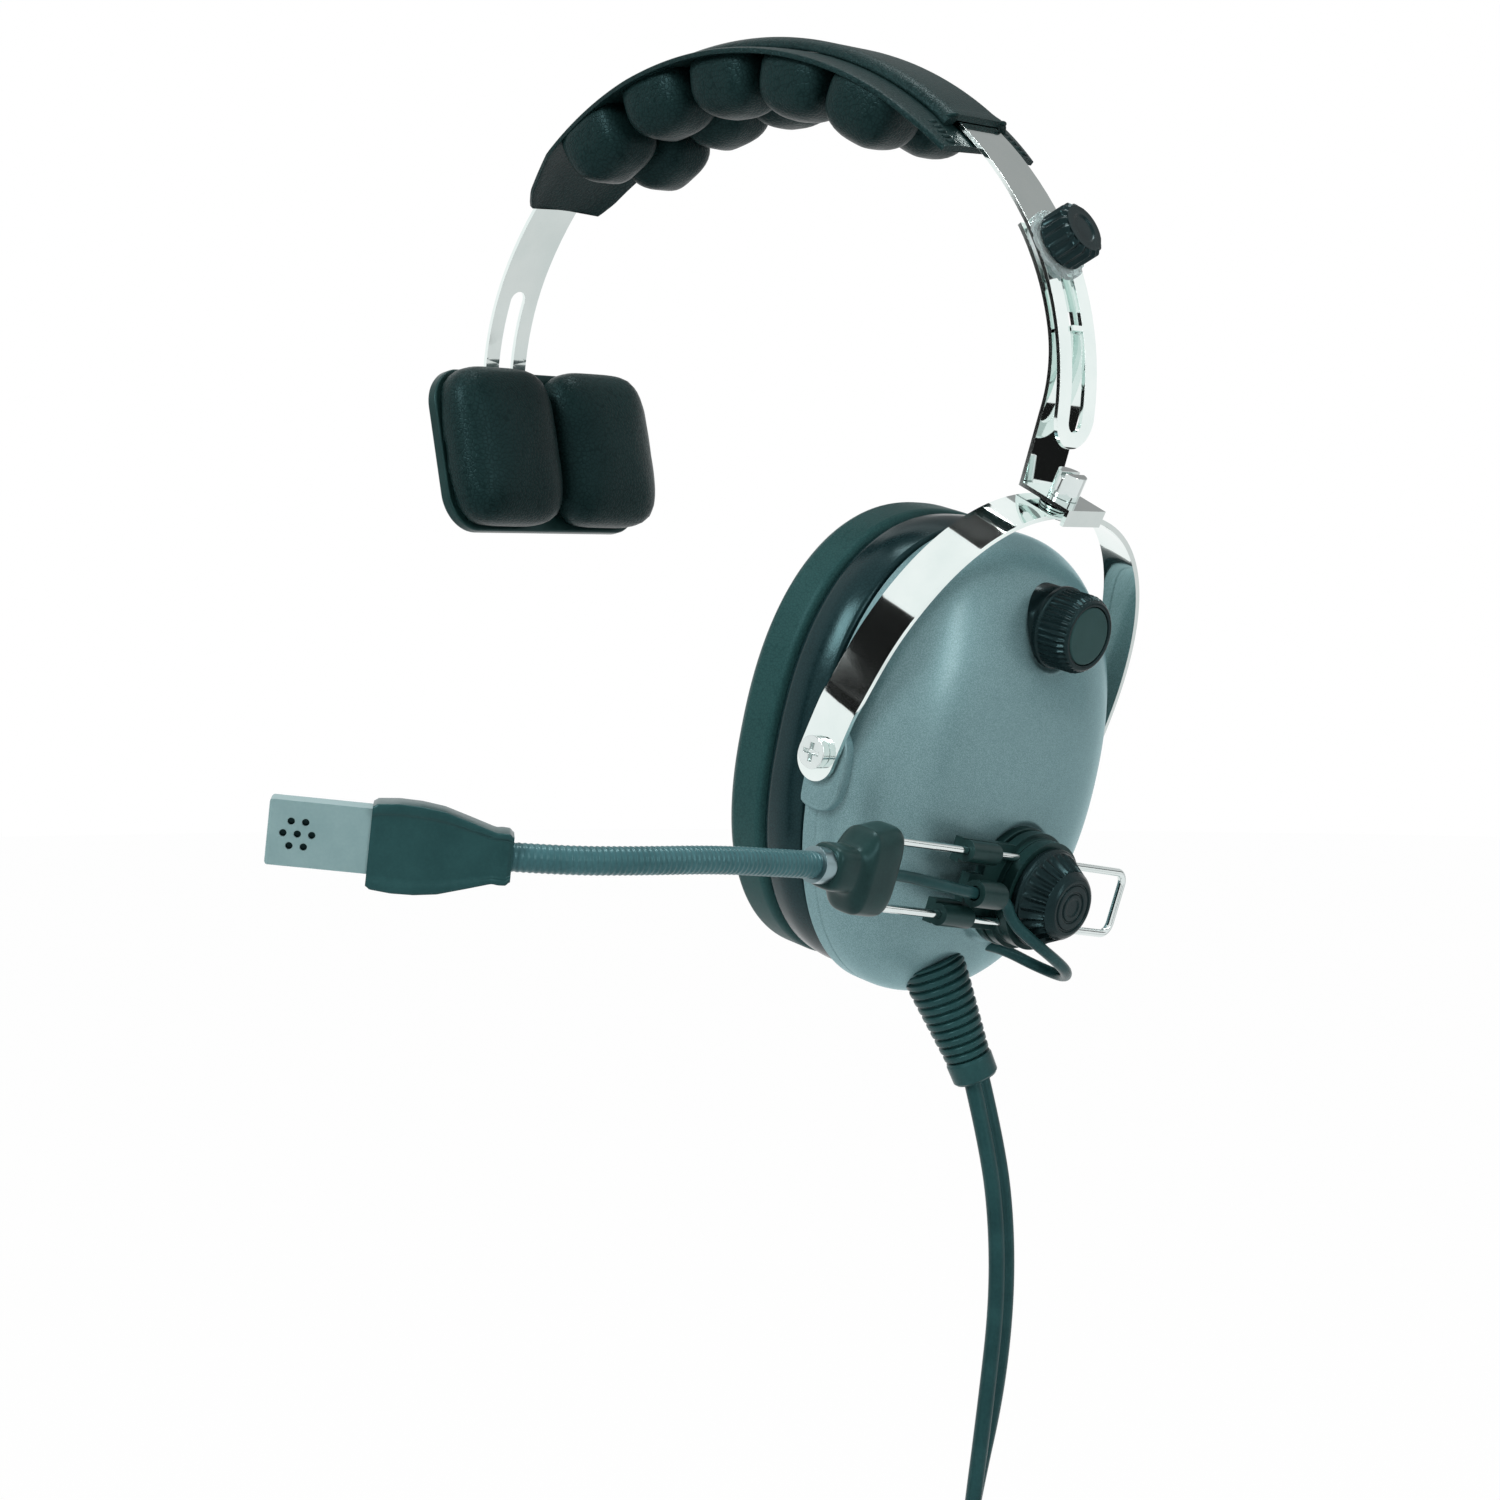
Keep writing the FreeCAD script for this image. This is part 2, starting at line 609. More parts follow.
def adjuster():
    """Stud, saddle, liner and knob that clamp the two straps."""
    frame = spoke_frame(STUD_ANGLE)
    half = STRAP_T / 2
    head_x = -half - LOWER_LINER_T - STRAP_T
    centre = -R_SIDE
    inner_face = along_y(LOWER_R - half, -30, 30, centre, 0)
    head = along_x(STUD_HEAD_R, head_x - STUD_HEAD_T - 0.4, head_x + 0.4).common(inner_face)
    top = half + SADDLE_T + KNOB_H - 1.0
    stud = fuse([head, along_x(STUD_R, head_x - 0.6, top)])
    saddle = along_x(SADDLE_R, -3, half + SADDLE_T).cut(along_y(STRAP_OUT + FACE, -30, 30, centre, 0))
    saddle = scalloped(saddle, half).cut(along_x(STUD_R, -20, 20))
    ring_hi = along_y(STRAP_IN - FACE, -30, 30, centre, 0)
    ring_lo = along_y(LOWER_R + half, -31, 31, centre, 0)
    liner = along_x(STRAP_W / 2 - 0.2, -8, 3).common(ring_hi.cut(ring_lo)).cut(along_x(STUD_R, -20, 20))
    base = half + SADDLE_T + FACE
    knob = ribbed(KNOB_R, KNOB_H, KNOB_RIBS, 0.7, base)
    knob = knob.cut(along_x(STUD_R + RUN, -20, top + 0.1))
    for name, shape in (("adjuster_stud", stud), ("adjuster_saddle", saddle),
                        ("adjuster_liner", liner), ("adjuster_knob", knob)):
        put(name, shape, frame)


def scalloped(disc, x0):
    """Saddle with small bites round its edge."""
    bites = []
    for i in range(12):
        t = 2 * math.pi * (i + 0.5) / 12
        bites.append(along_x(1.0, -8, 8, (SADDLE_R + 0.45) * math.cos(t), (SADDLE_R + 0.45) * math.sin(t)))
    return cut(disc, bites)


# ---------------------------------------------------------------- swivel and yoke
def yoke_points(offset, count=17):
    """Points of the yoke's bow, offset from its centreline."""
    pts = []
    for i in range(count):
        t = math.pi * i / (count - 1)
        ct = math.cos(t)
        st = math.sin(t)
        y = math.copysign(abs(ct) ** (2 / YOKE_POWER), ct) * (YOKE_P + offset)
        z = abs(st) ** (2 / YOKE_POWER) * (YOKE_H + offset)
        pts.append(V(-YOKE_W / 2, y, z))
    return pts


def yoke_body():
    """Bow of flat strip with a pivot eye at each end and a swivel hole on top."""
    h = YOKE_T / 2
    outer = yoke_points(h)
    inner = yoke_points(-h)
    c1 = Part.BSplineCurve()
    c1.interpolate(Points=outer, InitialTangent=V(0, 0, 1), FinalTangent=V(0, 0, -1))
    c2 = Part.BSplineCurve()
    c2.interpolate(Points=inner, InitialTangent=V(0, 0, 1), FinalTangent=V(0, 0, -1))
    edges = [c1.toShape(), Part.makeLine(outer[-1], inner[-1]), c2.toShape(), Part.makeLine(inner[0], outer[0])]
    bow = Part.Face(Part.Wire(Part.__sortEdges__(edges))).extrude(V(YOKE_W, 0, 0))
    eyes = []
    holes = []
    for side in (-1, 1):
        y0 = side * YOKE_P - h
        eyes.append(along_y(YOKE_W / 2, y0, y0 + YOKE_T, 0, -YOKE_END))
        eyes.append(box(-YOKE_W / 2, YOKE_W / 2, y0, y0 + YOKE_T, -YOKE_END, 0.1))
        holes.append(along_y(PIVOT_R + RUN, y0 - 3, y0 + 4))
    holes.append(Part.makeCylinder(SWIVEL_R, 20, V(0, 0, YOKE_H - 10), V(0, 0, 1)))
    return cut(fuse([bow] + eyes), holes)


def swivel():
    """Swivel bolt, its cap nut and the washer between yoke and tab."""
    top = YOKE_H + YOKE_T / 2
    sag = 1 - (1 - (SWIVEL_HEAD_R / YOKE_P) ** YOKE_POWER) ** (1 / YOKE_POWER)
    under = (YOKE_H - YOKE_T / 2) * (1 - sag) - RUN
    cap_z = top + SWIVEL_WASHER_T + 2 * FACE + STRAP_T
    head = Part.makeCylinder(SWIVEL_HEAD_R, SWIVEL_HEAD_T, V(0, 0, under - SWIVEL_HEAD_T))
    shank = Part.makeCylinder(SWIVEL_R, cap_z + SWIVEL_CAP_H - 2.0 - under + 0.5, V(0, 0, under - 0.5))
    bolt = fuse([head, shank])
    cap = Part.makeCylinder(SWIVEL_CAP_R, SWIVEL_CAP_H, V(0, 0, cap_z))
    cap = cap.cut(Part.makeCylinder(SWIVEL_R, SWIVEL_CAP_H - 2.0, V(0, 0, cap_z)))
    cap = cap.cut(box(-0.6, 0.6, -SWIVEL_CAP_R, SWIVEL_CAP_R, cap_z + SWIVEL_CAP_H - 1.2, cap_z + 20))
    washer = Part.makeCylinder(SWIVEL_HEAD_R + 0.6, SWIVEL_WASHER_T, V(0, 0, top))
    washer = washer.cut(Part.makeCylinder(SWIVEL_R, 20, V(0, 0, top - 5)))
    put("swivel_bolt", bolt, YOKE)
    put("swivel_cap", cap, YOKE)
    put("swivel_washer", washer, YOKE)
    put("yoke", yoke_body(), YOKE)


# ---------------------------------------------------------------- ear cup
def dome_levels(sb, sc, depth, start):
    """Depth stations of the dome's outer or inner form."""
    levels = [(start, sb, sc)] if start < 0 else []
    for s in (0.0, 0.2, 0.4, 0.58, 0.74, 0.87, 0.955, 0.99):
        k = (1 - s ** DOME_PROFILE) ** (1 / DOME_PROFILE)
        levels.append((s * depth, sb * k, sc * k))
    return levels


def screw_spots():
    """Four case screws on the diagonals, clear of the rim's inner wall."""
    mid_b = DOME_B - RIM_WALL - CASE_HEAD_R - 2 * GAP
    mid_c = DOME_C - RIM_WALL - CASE_HEAD_R - 2 * GAP
    k = math.cos(math.pi / 4) ** (2 / DOME_POWER)
    return [(sb * mid_b * k, DOME_C0 + sc * mid_c * k) for sb in (-1, 1) for sc in (-1, 1)]


def lug_solid(a0, a1, side):
    """Pivot lug on one side, between two depths."""
    y0 = min(side * (DOME_B - 8), side * LUG_OUT)
    y1 = max(side * (DOME_B - 8), side * LUG_OUT)
    top = along_y(LUG_R, y0, y1)
    low = along_y(LUG_R - 1, y0, y1, 0.5, -LUG_DROP)
    web = box(-LUG_R + 0.5, LUG_R - 0.5, y0, y1, -LUG_DROP, 0)
    return fuse([top, low, web]).common(box(a0, a1, y0 - 1, y1 + 1, -40, 40))


def shells():
    """Outer dome and rim shell, with lugs, bosses and screw holes."""
    outer = oval_loft(dome_levels(DOME_B, DOME_C, DOME_DEPTH, 0.0), DOME_C0)
    inner = oval_loft(dome_levels(DOME_B - WALL, DOME_C - WALL, DOME_DEPTH - WALL, -1.0), DOME_C0)
    lugs = [lug_solid(0, 20, side) for side in (-1, 1)]
    pads = [along_x(VOL_PAD_R, 12, VOL_PAD_A, VOL_B, VOL_C), along_x(BASE_R, 12, BASE_A, BOOM_B, BOOM_C)]
    body = fuse([outer] + lugs + pads)
    hollow = inner.cut(Part.makeCompound([
        along_x(VOL_PAD_R, VOL_PAD_A - PAD_WALL, 40, VOL_B, VOL_C),
        along_x(BASE_R, BASE_A - PAD_WALL, 40, BOOM_B, BOOM_C)]))
    bosses = []
    pilots = []
    for b, c in screw_spots():
        bosses.append(along_x(BOSS_R, -RIM_T + BAFFLE_T + LEDGE_T, 12, b, c))
        pilots.append(along_x(CASE_SCREW_R, -6, -RIM_T + CASE_SCREW_L, b, c))
    inserts = []
    for side in (-1, 1):
        y_out = side * LUG_OUT
        y_in = side * (LUG_OUT - INSERT_L)
        inserts.append(along_y(INSERT_R, min(y_in, y_out), max(y_in, y_out)))
    hollow = hollow.cut(Part.makeCompound([insert_wall(side) for side in (-1, 1)]))
    hollow = hollow.cut(Part.makeCompound(bosses))
    dome = body.cut(hollow)
    dome = dome.fuse([b.common(inner) for b in bosses]).removeSplitter()
    relief = strain_axis()
    start = relief[0] - relief[2] * 9
    tools = pilots + inserts
    tools.append(along_x(POT_NECK_R + RUN, 0, 40, VOL_B, VOL_C))
    tools.append(along_x(POT_R + RUN, 5, VOL_PAD_A - PAD_WALL, VOL_B, VOL_C))
    tools.append(along_x(VOL_PAD_R, VOL_PAD_A, 40, VOL_B, VOL_C))
    tools.append(along_x(BOLT_R + RUN, 0, 40, BOOM_B, BOOM_C))
    tools.append(along_x(BOLT_HEAD_R + RUN, 5, BASE_A - PAD_WALL, BOOM_B, BOOM_C))
    tools.append(along_x(BASE_R + RUN, BASE_A, 40, BOOM_B, BOOM_C))
    tools.append(Part.makeCylinder(STRAIN_R0, 40, start, relief[2]))
    tools.append(lead_loop(LEAD_R + RUN)[0])
    dome = dome.cut(Part.makeCompound(tools))
    dome = max(dome.Solids, key=lambda s: s.Volume)
    rim = oval_prism(-RIM_T, 0, DOME_B, DOME_C, DOME_C0)
    rim = rim.cut(oval_prism(-RIM_T - 1, 1, DOME_B - RIM_WALL, DOME_C - RIM_WALL, DOME_C0))
    ledge0 = -RIM_T + BAFFLE_T
    ledge = oval_prism(ledge0, ledge0 + LEDGE_T, DOME_B - RIM_WALL + 0.5, DOME_C - RIM_WALL + 0.5, DOME_C0)
    inner_b = DOME_B - RIM_WALL - LEDGE_W
    inner_c = DOME_C - RIM_WALL - LEDGE_W
    ledge = ledge.cut(oval_prism(ledge0 - 1, ledge0 + 5, inner_b, inner_c, DOME_C0))
    for b, c in screw_spots():
        ledge = ledge.fuse(along_x(BOSS_R, ledge0, ledge0 + LEDGE_T, b, c))
    rim_lugs = [lug_solid(-RIM_T, 0, side) for side in (-1, 1)]
    rim = fuse([rim, ledge] + [lug.cut(oval_prism(-9, 9, DOME_B - 2, DOME_C - 2, DOME_C0)) for lug in rim_lugs])
    rim = rim.cut(Part.makeCompound(pilots + inserts))
    put("dome_shell", dome, CUP)
    put("rim_shell", max(rim.Solids, key=lambda s: s.Volume), CUP)
    put("pivot_inserts", Part.makeCompound([
        s.cut(along_y(PIVOT_R, -80, 80)) for s in inserts]), CUP)


def insert_wall(side):
    """Solid kept round each brass insert inside the shell."""
    y_in = side * (LUG_OUT - INSERT_L - 1.5)
    y_out = side * LUG_OUT
    return along_y(INSERT_R + 2.0, min(y_in, y_out), max(y_in, y_out))


def pivot_screws():
    """Shoulder screws through the yoke's eyes; they follow the yoke frame's axis."""
    screws = []
    for side in (-1, 1):
        face = YOKE_P + YOKE_T / 2 + FACE
        shank0 = LUG_OUT - INSERT_L + 1.0
        shank = along_y(PIVOT_R, shank0, face + 0.5)
        head = along_y(PIVOT_HEAD_R, face, face + PIVOT_HEAD_T)
        slot = box(-0.5, 0.5, face + PIVOT_HEAD_T - 1.0, face + 9, -2.2, 2.2)
        cross = box(-2.2, 2.2, face + PIVOT_HEAD_T - 1.0, face + 9, -0.5, 0.5)
        screw = fuse([shank, head]).cut(Part.makeCompound([slot, cross]))
        spacer = along_y(INSERT_R, LUG_OUT, YOKE_P - YOKE_T / 2 - FACE)
        screw = screw.fuse(spacer).removeSplitter()
        if side < 0:
            screw = screw.mirror(V(0, 0, 0), V(0, 1, 0))
        screws.append(screw)
    put("pivot_screws", Part.makeCompound(screws), CUP)


def ear_parts():
    """Seal, foam, baffle, driver and damping block."""
    back = -RIM_T
    face = -RIM_T - SEAL_T
    levels = [(back, SEAL_B - 2.5, SEAL_C - 2.5), (back - 4, SEAL_B - 0.6, SEAL_C - 0.6),
              (back - 11, SEAL_B, SEAL_C), (face + 2.5, SEAL_B, SEAL_C), (face, SEAL_B - 1.6, SEAL_C - 1.6)]
    holes = [(back + 1, SEAL_IN_B + 0.5, SEAL_IN_C + 0.5), (back - 8, SEAL_IN_B, SEAL_IN_C),
             (face + 6, SEAL_IN_B, SEAL_IN_C), (face - 0.5, SEAL_IN_B + 5, SEAL_IN_C + 5)]
    seal = oval_loft(levels, SEAL_C0, SEAL_POWER).cut(oval_loft(holes, SEAL_C0, SEAL_POWER))
    put("ear_seal", seal, CUP)
    foam = oval_prism(back - FOAM_T, back, SEAL_IN_B - 0.3, SEAL_IN_C - 0.3, SEAL_C0, SEAL_POWER)
    put("ear_foam", foam, CUP)
    plate = oval_prism(back, back + BAFFLE_T, DOME_B - RIM_WALL, DOME_C - RIM_WALL, DOME_C0)
    cuts = [along_x(CASE_SCREW_R, -9, 9, b, c) for b, c in screw_spots()]
    cuts += [along_x(CASE_HEAD_R, -9, back + CASE_HEAD_T, b, c) for b, c in screw_spots()]
    cuts.append(along_x(2.4, -9, 9))
    for i in range(6):
        t = math.radians(60 * i)
        cuts.append(along_x(2.4, -9, 9, 8.5 * math.cos(t), 8.5 * math.sin(t)))
    put("baffle_plate", cut(plate, cuts), CUP)
    spk = back + BAFFLE_T
    frame = along_x(SPK_R, spk, spk + SPK_T)
    frame = frame.cut(along_x(CONE_R, spk, spk + 2.6))
    frame = frame.cut(along_x(MAG_R - 3, spk, spk + SPK_T + 1))
    put("speaker_frame", frame, CUP)
    put("speaker_magnet", along_x(MAG_R, spk + SPK_T, spk + SPK_T + MAG_T), CUP)
    put("speaker_cone", along_x(CONE_R, spk + 1.6, spk + 1.6 + CONE_T), CUP)
    wool0 = spk + SPK_T + MAG_T + 0.3
    wool = oval_prism(wool0, wool0 + WOOL_T, DOME_B - WALL - 10, DOME_C - WALL - 12, DOME_C0)
    holes = [along_x(POT_R + 1, 0, 40, VOL_B, VOL_C), along_x(BOLT_HEAD_R + 1, 0, 40, BOOM_B, BOOM_C)]
    relief = strain_axis()
    holes.append(Part.makeCylinder(STRAIN_R0 + 1, 30, relief[0] - relief[2] * 10, relief[2]))
    holes += [along_x(BOSS_R + 0.6, 0, 20, b, c) for b, c in screw_spots()]
    holes.append(lead_loop(LEAD_R + GAP)[0])
    put("damping_block", max(cut(wool, holes).Solids, key=lambda s: s.Volume), CUP)
    screws = []
    for b, c in screw_spots():
        head = along_x(CASE_HEAD_R, back, back + CASE_HEAD_T, b, c)
        screws.append(fuse([head, along_x(CASE_SCREW_R, back + 0.2, back + CASE_SCREW_L, b, c)]))
    put("case_screws", Part.makeCompound(screws), CUP)


# ---------------------------------------------------------------- volume control
def volume_control():
    """Potentiometer, nut, shaft, knob and cap disc."""
    frame = CUP.multiply(Pla(V(0, VOL_B, VOL_C), Rot()))
    pot_top = VOL_PAD_A - PAD_WALL
    neck_top = VOL_PAD_A + POT_NUT_T + 0.6
    pot = fuse([along_x(POT_R, pot_top - POT_T, pot_top), along_x(POT_NECK_R, pot_top - 0.5, neck_top)])
    bore0 = pot_top - POT_T + 2.0
    pot = pot.cut(along_x(SHAFT_R + RUN, bore0, neck_top + 1))
    nut = hexagon(POT_NUT_AF, VOL_PAD_A, VOL_PAD_A + POT_NUT_T).cut(along_x(POT_NECK_R, 0, 60))
    base = VOL_PAD_A + 0.4
    top = base + VKNOB_H
    knob = ribbed(VKNOB_R, VKNOB_H - 2.2, VKNOB_RIBS, 0.45, base)
    crown = Part.makeCone(VKNOB_R - 0.5, VKNOB_R - 1.9, 2.2, V(top - 2.2, 0, 0), V(1, 0, 0))
    knob = fuse([knob, crown])
    cavity = neck_top + 0.5
    shaft_top = top - 2.2
    knob = cut(knob, [along_x(POT_NUT_AF / math.sqrt(3) + 0.6, base - 1, cavity),
                      along_x(SHAFT_R, base - 1, shaft_top), along_x(VCAP_R, top - VCAP_T, top + 1)])
    put("volume_pot", pot, frame)
    put("pot_nut", nut, frame)
    put("volume_shaft", along_x(SHAFT_R, bore0 + 0.1, shaft_top), frame)
    put("volume_knob", knob, frame)
    put("volume_knob_cap", along_x(VCAP_R, top - VCAP_T, top - 0.1), frame)


# ---------------------------------------------------------------- boom swivel and clamp (boom frame)
def x_of(a):
    """Depth from the cup frame to the boom frame, whose X=0 is the rods' plane."""
    return a - WIRE_A


def boom_swivel():
    """Base disc, friction disc, bolt, clamp carrier, jaw and lock knob."""
    base1 = BASE_A + BASE_T
    rotor0 = base1 + FRICTION_T + FACE
    rotor1 = rotor0 + ROTOR_T
    put("swivel_base", along_x(BASE_R, x_of(BASE_A), x_of(base1)).cut(along_x(BOLT_R, -40, 40)), BOOM)
    put("friction_disc", along_x(FRICTION_R, x_of(base1), x_of(base1 + FRICTION_T))
        .cut(along_x(BOLT_R, -40, 40)), BOOM)
    seat = BASE_A - PAD_WALL
    jaw1 = FACE + 0.1 + JAW_T
    lock0 = jaw1 + FACE
    lock1 = lock0 + LOCK_H
    bolt = fuse([along_x(BOLT_HEAD_R, x_of(seat - BOLT_HEAD_T), x_of(seat)),
                 along_x(BOLT_R, x_of(seat - 0.5), lock1 - 3.0)])
    put("boom_bolt", bolt, BOOM)
    hole = along_x(BOLT_R + RUN, -40, 40)
    grooves = [along_y(WIRE_R + RUN, -60, 60, 0, s * ROD_HALF) for s in (-1, 1)]
    low = along_x(ROTOR_R, x_of(rotor0), x_of(rotor1))
    seats = along_x(JAW_R, x_of(rotor1) - 0.2, -FACE)
    carrier = fuse([low, seats] + carrier_arms(x_of(rotor0), x_of(rotor1)))
    lead_bore = along_y(LEAD_R + GAP, -CLIP_FRONT - 1, -CLIP_REAR + 1, CLIP_X, CLIP_Z)
    carrier = cut(carrier, [hole, lead_bore] + grooves)
    put("boom_carrier", max(carrier.Solids, key=lambda s: s.Volume), BOOM)
    jaw = cut(along_x(JAW_R, FACE + 0.1, jaw1), [hole] + grooves)
    put("boom_jaw", jaw, BOOM)
    skirt = along_x(LOCK_R, lock0, lock0 + 1.6)
    cone = Part.makeCone(LOCK_R - 0.5, LOCK_FACE_R, LOCK_H - 1.6, V(lock0 + 1.6, 0, 0), V(1, 0, 0))
    knob = fuse([skirt, cone])
    fins = []
    for i in range(LOCK_RIBS):
        t = 360.0 * i / LOCK_RIBS
        fin = box(lock0 + 2.2, lock1 - 1.6, LOCK_FACE_R + 0.6, LOCK_R + 2, -0.45, 0.45)
        fin.rotate(V(0, 0, 0), V(1, 0, 0), t)
        fins.append(fin)
    shell = Part.makeCone(LOCK_R - 1.1, LOCK_FACE_R - 0.6, LOCK_H - 1.6, V(lock0 + 1.6, 0, 0), V(1, 0, 0))
    fins = [f.cut(shell) for f in fins]
    knob = cut(knob, fins + [along_x(BOLT_R + RUN, -40, lock1 - 2.9)])
    ring = along_x(LOCK_FACE_R - 1.2, lock1 - 0.4, lock1 + 1).cut(along_x(LOCK_FACE_R - 1.9, lock1 - 1, lock1 + 2))
    put("lock_knob", knob.cut(ring), BOOM)


def carrier_arms(x0, x1):
    """Arms that hold a sleeve round each rod and a clip round the microphone lead."""
    arms = [box(x0, x1, -30, -10, 4.6, 10.4), box(x0, x1, -33.5, -10, -10.4, -4.6)]
    arms.append(box(x0, x1, -19, -10, -9, 9))
    arms.append(along_y(TUBE_R, -30, -19, 0, ROD_HALF))
    arms.append(along_y(TUBE_R, -33.5, -22.5, 0, -ROD_HALF))
    arms.append(box(x0, 0, -29.5, -19.5, ROD_HALF - 1.2, ROD_HALF + 1.2))
    arms.append(box(x0, 0, -33.0, -23.0, -ROD_HALF - 1.2, -ROD_HALF + 1.2))
    arms.append(along_y(CLIP_R, -CLIP_FRONT, -CLIP_REAR, CLIP_X, CLIP_Z))
    arms.append(box(x0, CLIP_X, -CLIP_FRONT + 3.5, -CLIP_REAR, CLIP_Z - 1.4, CLIP_Z + 1.4))
    arms.append(box(x0, x1, -CLIP_FRONT + 3.5, -10, CLIP_Z - 3.5, CLIP_Z + 3.5))
    return arms


def boom_rods():
    """One bent wire: two rods and the crossbar behind the swivel."""
    r = ROD_CORNER
    b = ROD_BACK
    h = ROD_HALF
    p = [V(0, -ROD_FRONT, h), V(0, b - r, h), V(0, b, h - r), V(0, b, -h + r), V(0, b - r, -h), V(0, -ROD_FRONT, -h)]
    k = r * (1 - math.sqrt(0.5))
    edges = [Part.makeLine(p[0], p[1]), Part.Arc(p[1], V(0, b - k, h - k), p[2]).toShape(),
             Part.makeLine(p[2], p[3]), Part.Arc(p[3], V(0, b - k, -h + k), p[4]).toShape(),
             Part.makeLine(p[4], p[5])]
    wire = Part.Wire(edges)
    start = Part.Wire([Part.Circle(p[0], V(0, 1, 0), WIRE_R).toShape()])
    return wire.makePipeShell([start], True, True)


def block_section(y, ht, hh, corner):
    """Rounded rectangle across Y."""
    pts = []
    for i in range(24):
        t = 2 * math.pi * (i + 0.5) / 24
        ct = math.cos(t)
        st = math.sin(t)
        pts.append(V(math.copysign(abs(ct) ** (2 / corner), ct) * ht, y, math.copysign(abs(st) ** (2 / corner), st) * hh))
    curve = Part.BSplineCurve()
    curve.interpolate(Points=pts, PeriodicFlag=True)
    return Part.Wire([curve.toShape()])


def boom_front():
    """Moulded block, ferrule and the front stretch of the microphone lead."""
    rods = boom_rods()
    put("boom_rods", rods, BOOM)
    rear = -BLOCK_REAR
    front = -BLOCK_FRONT
    ht = BLOCK_HALF_T
    hh = BLOCK_HALF_H
    levels = [(rear, ht - 0.8, hh - 0.6, 4.0), (rear - 2.0, ht, hh, 4.0), (rear - 9.0, ht, hh, 3.6),
              (rear - 13.5, ht - 0.2, hh - 3.0, 3.0), (rear - 17.0, FERRULE_R + 1.2, FERRULE_R + 1.8, 2.2),
              (front, FERRULE_R + 0.8, FERRULE_R + 0.9, 2.0)]
    block = Part.makeLoft([block_section(*lv) for lv in levels], True, False)
    grip = along_y(FERRULE_R, front - 1, front + 4)
    block = cut(block, [rods, grip, front_lead(LEAD_R)[0]])
    put("boom_block", max(block.Solids, key=lambda s: s.Volume), BOOM)
    root = V(*NECK_POINTS[0])
    ferrule = along_y(FERRULE_R, root.y + NECK_BACKSET, front + 4)
    put("boom_ferrule", ferrule.cut(Part.makeSphere(NECK_R + RUN, root)), BOOM)


def neck_link(p, q, last):
    """Link of the flexible neck: a ball at its start and a hollow end that clears the next ball."""
    d = V(q - p).normalize()
    length = (q - p).Length + (BOOT_GRIP if last else -NECK_BACKSET)
    link = Part.makeCylinder(NECK_R, length, p, d).fuse(Part.makeSphere(NECK_R, p))
    if not last:
        link = link.cut(Part.makeSphere(NECK_R + RUN, q))
    return link.removeSplitter()


def gooseneck():
    """Three links of the flexible neck and the microphone on the last one."""
    pts = [V(*p) for p in NECK_POINTS]
    count = len(pts) - 1
    for i in range(count):
        put("gooseneck_%d" % (i + 1), neck_link(pts[i], pts[i + 1], i == count - 1), BOOM)
    microphone(pts[-1], V(*MIC_DIR).normalize())


def microphone(root, d):
    """Rubber boot and the two-part case with its capsule, in a frame along the microphone."""
    up = V(0, 0, 1)
    side = V(up.cross(d)).normalize()
    up = V(d.cross(side)).normalize()
    mic = Pla(root, Rot(side, d, up, "YZX"))
    mic = BOOM.multiply(mic)
    levels = [(0.0, BOOT_T0, BOOT_H0, 2.4), (4.0, BOOT_T0, BOOT_H0 + 1.2, 2.8), (BOOT_L * 0.6, BOOT_T1, BOOT_H1 - 2.2, 4.0),
              (BOOT_L - 3, BOOT_T1, BOOT_H1, 5.0), (BOOT_L, BOOT_T1 - 0.6, BOOT_H1 - 1.2, 5.0)]
    boot = Part.makeLoft([block_section(y, t / 2, h / 2, k) for y, t, h, k in levels], True, False)
    case0 = BOOT_L - MIC_IN
    case1 = BOOT_L + MIC_L
    low = MIC_RISE - MIC_H / 2
    top = MIC_RISE + MIC_H / 2
    pocket = box(-MIC_T / 2, MIC_T / 2, case0, case1, low, top)
    neck_hole = PIECES["gooseneck_3"].transformed(mic.inverse().toMatrix(), True)
    boot = boot.cut(pocket).cut(neck_hole)
    put("mic_boot", max(boot.Solids, key=lambda s: s.Volume), mic)
    body = rounded_case(case0, case1)
    inner = box(-MIC_T / 2 + MIC_WALL, MIC_T / 2 - MIC_WALL, case0 + MIC_WALL, case1 - MIC_WALL,
                low + MIC_WALL, top - MIC_WALL)
    shell = body.cut(inner)
    cy = case1 - CAPSULE_R - MIC_WALL - GAP
    holes = [along_x(MIC_HOLE_R, -9, 9, cy, MIC_RISE)]
    for i in range(6):
        t = math.radians(60 * i)
        holes.append(along_x(MIC_HOLE_R, -9, 9, cy + MIC_HOLE_RING * math.cos(t),
                             MIC_RISE + MIC_HOLE_RING * math.sin(t)))
    shell = cut(shell, holes)
    big = 60
    put("mic_case_outer", shell.common(box(0, big, -big, big, -big, big)), mic)
    put("mic_case_inner", shell.common(box(-big, 0, -big, big, -big, big)), mic)
    capsule = along_x(CAPSULE_R, -CAPSULE_T / 2, CAPSULE_T / 2, cy, MIC_RISE)
    cradle = box(-MIC_T / 2 + MIC_WALL, MIC_T / 2 - MIC_WALL, cy - CAPSULE_R - 2.5, cy - CAPSULE_R + 1.5,
                 MIC_RISE - 3, MIC_RISE + 3)
    put("mic_capsule", fuse([capsule, cradle]), mic)
    PIECES["_mic_frame"] = mic


def rounded_case(y0, y1):
    """Microphone case block with its long and end edges eased."""
    body = box(-MIC_T / 2, MIC_T / 2, y0, y1, MIC_RISE - MIC_H / 2, MIC_RISE + MIC_H / 2)
    edges = [e for e in body.Edges if e.CenterOfMass.y > y1 - 0.1]
    return body.makeFillet(0.7, edges)


